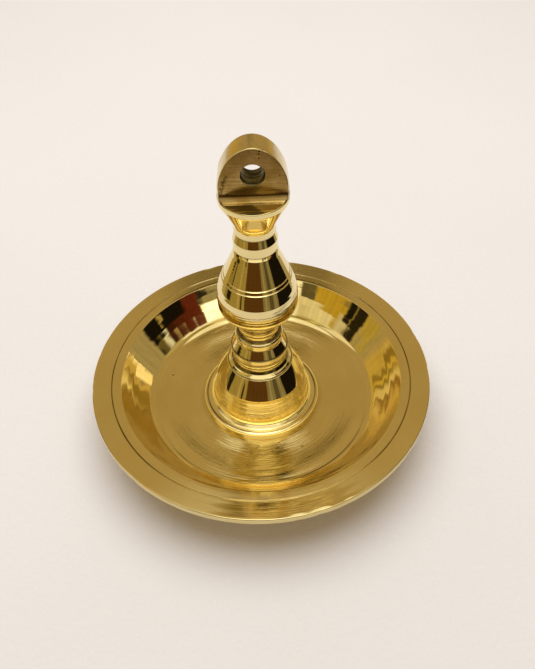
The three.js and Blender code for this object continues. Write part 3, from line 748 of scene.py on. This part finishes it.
def screw_relief(angle, radius, height, along):
    """The thread, a triangular wave that climbs one pitch in a turn, and the slot across the head."""
    threaded = (radius > 2.3) & (radius < 3.05) & (height > FOOT_TOP - 4) & (height < SCREW_TIP - 0.4)
    wave = np.abs(((height / THREAD_PITCH - angle / (2 * np.pi)) % 1) - 0.5) * 2
    across = np.abs(radius * np.sin(angle))
    slot = (height < HEAD_FACE + 0.1) & (across < SLOT_HALF)
    return -THREAD_DEPTH * wave * threaded - SLOT_DEPTH * slot


# Brass straight from the machine is dull, with fine feed rings.
plain_brass = turned_brass("machined_brass", "DDB978", "C89E58", rough=0.32, bright=0.2, ring_mm=0.3,
                           ring_depth=0.02, grain=0.3)
screw = lathe_mesh("fixing_screw_cut", screw_outline, 96, False, screw_relief)
placed("fixing_screw_cut", screw, ["fixing_screw"], "plain_brass", plain_brass)

# Screw washer. A plain stamped brass washer between the screw's head and the dish.
washer_outline = joined([
    (SCREW_BORE, HEAD_SEAT, 0.15),
    (7.5, HEAD_SEAT, 0.25),
    (7.5, FLOOR_UNDER, 0.15),
    (SCREW_BORE, FLOOR_UNDER, 0.15),
], 0.5)
washer = lathe_mesh("screw_washer_stamped", washer_outline, 96, True)
placed("screw_washer_stamped", washer, ["screw_washer"], "plain_brass", plain_brass)

# Sealing washer. Oiled leather in the pocket under the foot boss, which keeps the oil in the dish.
seal_outline = joined([
    (SCREW_BORE, FLOOR_TOP, 0.2),
    (8.0, FLOOR_TOP, 0.3),
    (8.0, FLOOR_TOP + 1.2, 0.3),
    (SCREW_BORE, FLOOR_TOP + 1.2, 0.2),
], 0.5)
oiled_leather, tree, shader = new_material("oiled_leather")
shader.inputs["Metallic"].default_value = 0.0
shader.inputs["Roughness"].default_value = 0.7
place = add(tree, "TexCoord").outputs["Object"]
# Leather grain of about 0.6 mm.
grain = add(tree, "TexVoronoi", {"Scale": 1600.0}, Vector=place).outputs["Distance"]
tint = add(tree, "Mix", {"data_type": "RGBA", 6: linear("4A2F1C"), 7: linear("6B4630")}, i0=grain)
relief = add(tree, "Bump", {"Distance": 0.1 * MM}, Height=grain)
tree.links.new(tint.outputs[2], shader.inputs["Base Color"])
tree.links.new(relief.outputs[0], shader.inputs["Normal"])
seal = lathe_mesh("sealing_washer_leather", seal_outline, 96, True)
placed("sealing_washer_leather", seal, ["sealing_washer"], "leather_seal", oiled_leather)

# Floor. A wide sheet of warm white plaster board, matt, with a faint tooth.
BOARD_SIZE = 4.0
board_mesh = bpy.data.meshes.new("floor_board")
half = BOARD_SIZE / 2
board_corners = [(-half, -half, 0), (half, -half, 0), (half, half, 0), (-half, half, 0)]
board_mesh.from_pydata(board_corners, [], [(0, 1, 2, 3)])
board = bpy.data.objects.new("floor_board", board_mesh)
bpy.context.scene.collection.objects.link(board)
plaster, tree, shader = new_material("warm_white_plaster")
shader.inputs["Metallic"].default_value = 0.0
shader.inputs["Roughness"].default_value = 0.9
shader.inputs["Specular IOR Level"].default_value = 0.2
place = add(tree, "TexCoord").outputs["Object"]
tooth = add(tree, "TexNoise", {"Scale": 420.0, "Detail": 4.0, "Roughness": 0.6}, Vector=place).outputs["Fac"]
blotch = add(tree, "TexNoise", {"Scale": 9.0, "Detail": 2.0}, Vector=place).outputs["Fac"]
tint = add(tree, "Mix", {"data_type": "RGBA", 6: linear("F2E9E0"), 7: linear("EDE4DA")}, i0=blotch)
relief = add(tree, "Bump", {"Strength": 1.0, "Distance": 0.25 * MM}, Height=tooth)
tree.links.new(tint.outputs[2], shader.inputs["Base Color"])
tree.links.new(relief.outputs[0], shader.inputs["Normal"])
board_mesh.materials.append(plaster)

# Studio. A pale room lights the lamp evenly, and one soft lamp overhead gives the dish its shadow.
# What the polished brass mirrors is a painted surround, which the camera and matt surfaces don't see.
world = bpy.data.worlds.new("pale_room")
bpy.context.scene.world = world
world.use_nodes = True
room = world.node_tree
room.nodes.clear()
lit = add(room, "Background", {"Color": (1.0, 0.88, 0.70, 1.0), "Strength": 0.37})
shown = add(room, "Background", {"Color": linear("F0E8DE"), "Strength": 1.0})
rays = add(room, "LightPath").outputs
seen = add(room, "Math", {"operation": "MAXIMUM"}, i0=rays["Is Camera Ray"], i1=rays["Is Glossy Ray"])
seen = add(room, "Math", {"operation": "MAXIMUM"}, i0=seen.outputs[0], i1=rays["Is Transmission Ray"])
chosen = add(room, "MixShader", i0=seen.outputs[0], i1=lit.outputs[0], i2=shown.outputs[0])
add(room, "OutputWorld", Surface=chosen.outputs[0])

overhead_data = bpy.data.lights.new("overhead_softbox", "AREA")
overhead_data.shape = "DISK"
overhead_data.size = 1.0
overhead_data.energy = 6.0
overhead_data.color = (0.94, 1.01, 1.12)
overhead = bpy.data.objects.new("overhead_softbox", overhead_data)
bpy.context.scene.collection.objects.link(overhead)
overhead.location = (-0.02, 0.17, 0.75)
overhead.rotation_euler = (-overhead.location).to_track_quat("-Z", "Y").to_euler()
overhead.visible_glossy = False


def between(value, low, high, blur):
    """1 where value is between low and high and 0 outside, with each border blurred over blur."""
    return np.clip((value - low) / blur + 0.5, 0, 1) * np.clip((high - value) / blur + 0.5, 0, 1)


def painted(azimuth, level, ground, patches):
    """The light that a surround gives off: ground everywhere, with each patch laid over it in turn. A patch
    is (from azimuth, to azimuth, from level, to level, blur, light). Slow waves bend the patches' borders,
    and faint ones make all of it a little uneven."""
    light = np.broadcast_to(np.array(ground, float), (*azimuth.shape, 3)).copy()
    bent = azimuth + 0.4 * np.sin(level * 0.7) + 0.2 * np.sin(level * 1.9 + azimuth * 0.2)
    raised = level + 0.5 * np.sin(azimuth * 0.45) + 0.2 * np.sin(azimuth * 1.3)
    for left, right, low, high, blur, colour in patches:
        share = between(bent, left, right, blur) * between(raised, low, high, blur)
        light += (np.array(colour) - light) * share[..., None]
    uneven = 0.08 * np.sin(azimuth * 1.1) * np.sin(azimuth * 0.37 + level * 0.03) + 0.05 * np.sin(level * 0.6)
    return light * (1 + uneven[..., None])


def surround(name, points, light, closed):
    """A surface that only mirrors see, from a grid of points in metres, each with the light it gives off."""
    rows, columns = points.shape[:2]
    j, i = np.arange(rows - 1)[:, None], np.arange(columns if closed else columns - 1)[None]
    here, beside = j * columns + i, j * columns + (i + 1) % columns
    quads = np.stack([here, beside, beside + columns, here + columns], -1)
    mesh = bpy.data.meshes.new(name)
    mesh.from_pydata(points.reshape(-1, 3).tolist(), [], quads.reshape(-1, 4).tolist())
    shades = np.concatenate([light.reshape(-1, 3), np.ones((rows * columns, 1))], 1)
    glowing = mesh.attributes.new("light", "FLOAT_COLOR", "POINT")
    glowing.data.foreach_set("color", shades.astype(np.float32).ravel())
    panel = bpy.data.objects.new(name, mesh)
    bpy.context.scene.collection.objects.link(panel)
    material = bpy.data.materials.new(name)
    material.use_nodes = True
    material.cycles.emission_sampling = "NONE"
    tree = material.node_tree
    tree.nodes.clear()
    colour = add(tree, "Attribute", {"attribute_name": "light"})
    glow = add(tree, "Emission", Color=colour.outputs["Color"])
    add(tree, "OutputMaterial", Surface=glow.outputs[0])
    mesh.materials.append(material)
    panel.visible_camera = False
    panel.visible_diffuse = False
    panel.visible_shadow = False
    panel.visible_transmission = False


# The far surround is a dome 1.6 m out. Azimuths count in degrees from the camera's side, positive to its
# right, and levels are elevations. A patch that crosses the azimuth of 180 is in the list twice.
DOME_RADIUS = 1.6
MUSTARD_WALL = (0.465, 0.34, 0.15)
WHITE_WALL = (1.2, 1.12, 0.95)
azimuth, level = np.meshgrid(np.arange(-180, 180, 0.5), np.linspace(0, 90, 181))
dome_light = painted(azimuth, level, MUSTARD_WALL, [
    (-104, -72, 28, 60, 6, (1.0, 0.9, 0.68)),
    (-76, -36, -5, 44, 5, (0.68, 0.58, 0.34)),
    (-76, -36, 44, 72, 5, (0.38, 0.30, 0.10)),
    (-68, -57, 44, 58, 4, (0.85, 0.68, 0.25)),
    (-38, 52, -5, 66, 5, WHITE_WALL),
    (30, 82, 34, 46, 6, WHITE_WALL),
    (40, 56, 44, 70, 5, (0.85, 0.70, 0.36)),
    (56, 90, 46, 70, 7, (0.40, 0.30, 0.10)),
    (82, 104, 30, 50, 6, (0.55, 0.45, 0.22)),
    (-190, 190, 64.5, 95, 3, (1.15, 1.08, 0.9)),
    (-190, 190, 79, 95, 5, (3.0, 2.9, 2.6)),
    (172, 190, 57.5, 61.5, 1.5, (0.20, 0.13, 0.02)),
    (-190, -174, 57.5, 61.5, 1.5, (0.20, 0.13, 0.02)),
    (170, 190, 59.6, 60.3, 0.6, (1.4, 1.0, 0.4)),
    (-190, -178, 59.6, 60.3, 0.6, (1.4, 1.0, 0.4)),
    (171, 190, 37, 47, 2, (0.12, 0.08, 0.02)),
    (-190, -171, 37, 47, 2, (0.12, 0.08, 0.02)),
    (177.5, 190, 36, 48, 1.5, (0.8, 0.66, 0.35)),
    (-72, -36, 18, 37, 2, (0.85, 0.74, 0.48)),
    (-72, -48, 18, 31, 1.2, (0.58, 0.38, 0.04)),
    (-48, -36, 18, 30, 1.0, (0.14, 0.11, 0.05)),
    (-84, -76, 18, 27, 1.0, (0.03, 0.02, 0.008)),
    (28, 50, 33, 38, 2.5, (2.4, 2.3, 2.1)),
    (28, 50, 18, 30, 1.5, (0.40, 0.33, 0.18)),
    (44, 54, 18, 26, 1.5, (0.05, 0.035, 0.02)),
    (50, 59, 18, 36, 1.2, (0.13, 0.025, 0.01)),
    (58, 68, 18, 34.5, 1.2, (0.12, 0.022, 0.008)),
    (67, 76, 18, 31.5, 1.2, (0.09, 0.02, 0.007)),
    (75, 84, 18, 28, 1.2, (0.06, 0.015, 0.006)),
    (-97, -35, -6, 13, 1.5, (0.28, 0.21, 0.06)),
    (-35, 14, -6, 14, 1.5, (0.10, 0.044, 0.010)),
    (14, 54, -6, 13, 1.5, (0.20, 0.16, 0.08)),
    (54, 104, -6, 12, 1.5, (0.012, 0.009, 0.005)),
    (107, 123, 3, 13, 2.0, (1.3, 1.05, 0.55)),
    (-150, -112, -5, 24, 6, (0.62, 0.42, 0.09)),
    (131, 152, -5, 12, 4, (0.6, 0.42, 0.12)),
])
turn, rise = np.radians(azimuth), np.radians(level)
dome = DOME_RADIUS * np.stack([np.sin(turn) * np.cos(rise), -np.cos(turn) * np.cos(rise), np.sin(rise)], -1)
surround("far_surround", dome, dome_light, True)

# The near surround is a low screen on the camera's side of the table, 15 cm out and 10 cm high. Its levels
# are heights in mm.
SCREEN_RADIUS = 0.15
SCREEN_HEIGHT = 100
OLIVE = (0.36, 0.26, 0.075)
azimuth, level = np.meshgrid(np.linspace(-118, 124, 485), np.linspace(0, SCREEN_HEIGHT, 51))
screen_light = painted(azimuth, level, OLIVE, [
    (-130, -99, -5, 105, 3, (0.46, 0.35, 0.14)),
    (-112, -99, 30, 75, 3, (0.50, 0.36, 0.07)),
    (-99, -78, -5, 105, 2, (0.30, 0.22, 0.06)),
    (-90, -76, 13, 30, 2, (0.02, 0.015, 0.005)),
    (-82, -78, 48, 60, 2, (0.05, 0.035, 0.01)),
    (-55, -51, -5, 75, 2, (0.5, 0.38, 0.14)),
    (-83, -52, 75, 105, 4, (0.58, 0.38, 0.04)),
    (-52, -36, 92, 105, 2, (0.14, 0.11, 0.05)),
    (-99.5, -90.5, 46, 105, 1, (0.025, 0.018, 0.006)),
    (-89.3, -83, 58, 105, 1, (0.015, 0.011, 0.005)),
    (-46, -42, 15, 45, 1, (0.04, 0.03, 0.01)),
    (-35, 14, -5, 105, 1.5, (0.10, 0.044, 0.010)),
    (14, 54, -5, 105, 1.5, (0.24, 0.19, 0.09)),
    (20, 24, -5, 105, 1.5, (0.36, 0.29, 0.14)),
    (31, 41, 5, 105, 1.5, (0.10, 0.08, 0.035)),
    (46, 49, -5, 105, 1.5, (0.33, 0.27, 0.13)),
    (44, 54, 88, 105, 1.5, (0.03, 0.02, 0.012)),
    (54, 112, -5, 105, 2, (0.010, 0.007, 0.004)),
    (54, 68, 78, 105, 1.5, (0.13, 0.025, 0.01)),
    (67, 90, 91, 105, 1.5, (0.05, 0.012, 0.005)),
    (87, 92, 60, 68, 1, (0.45, 0.33, 0.1)),
    (91, 99, 88, 98, 2, (0.9, 0.85, 0.7)),
    (98, 106, 80, 105, 2, (0.16, 0.12, 0.04)),
    (105.5, 130, -5, 105, 2, (0.42, 0.34, 0.18)),
])
turn = np.radians(azimuth)
screen = np.stack([SCREEN_RADIUS * np.sin(turn), -SCREEN_RADIUS * np.cos(turn), level * MM], -1)
surround("near_surround", screen, screen_light, False)

# Camera. It looks down at about fifty degrees from 29 cm away, as the photograph does.
EYE = np.array([0.0, -186.7, 238.1])
TARGET = np.array([0.0, 0.0, RIM_TOP])
PITCH, YAW, ROLL = np.radians([2.66, 0.60, -2.4])
LENS_PIXELS = 800.0
PICTURE_HEIGHT = 669.0
forward = (TARGET - EYE) / np.linalg.norm(TARGET - EYE)
right = np.array([1.0, 0.0, 0.0])
up = np.cross(right, forward)
forward, up = forward * np.cos(PITCH) + up * np.sin(PITCH), up * np.cos(PITCH) - forward * np.sin(PITCH)
forward, right = forward * np.cos(YAW) + right * np.sin(YAW), right * np.cos(YAW) - forward * np.sin(YAW)
right, up = right * np.cos(ROLL) + up * np.sin(ROLL), up * np.cos(ROLL) - right * np.sin(ROLL)
camera_data = bpy.data.cameras.new("camera")
camera_data.sensor_fit = "VERTICAL"
camera_data.sensor_height = 24.0
camera_data.lens = camera_data.sensor_height * LENS_PIXELS / PICTURE_HEIGHT
camera_data.clip_start = 0.01
camera = bpy.data.objects.new("camera", camera_data)
bpy.context.scene.collection.objects.link(camera)
turn = Matrix((right, up, -forward)).transposed().to_4x4()
camera.matrix_world = Matrix.Translation(Vector(EYE * MM)) @ turn
bpy.context.scene.camera = camera
bpy.context.scene.view_settings.view_transform = "Standard"
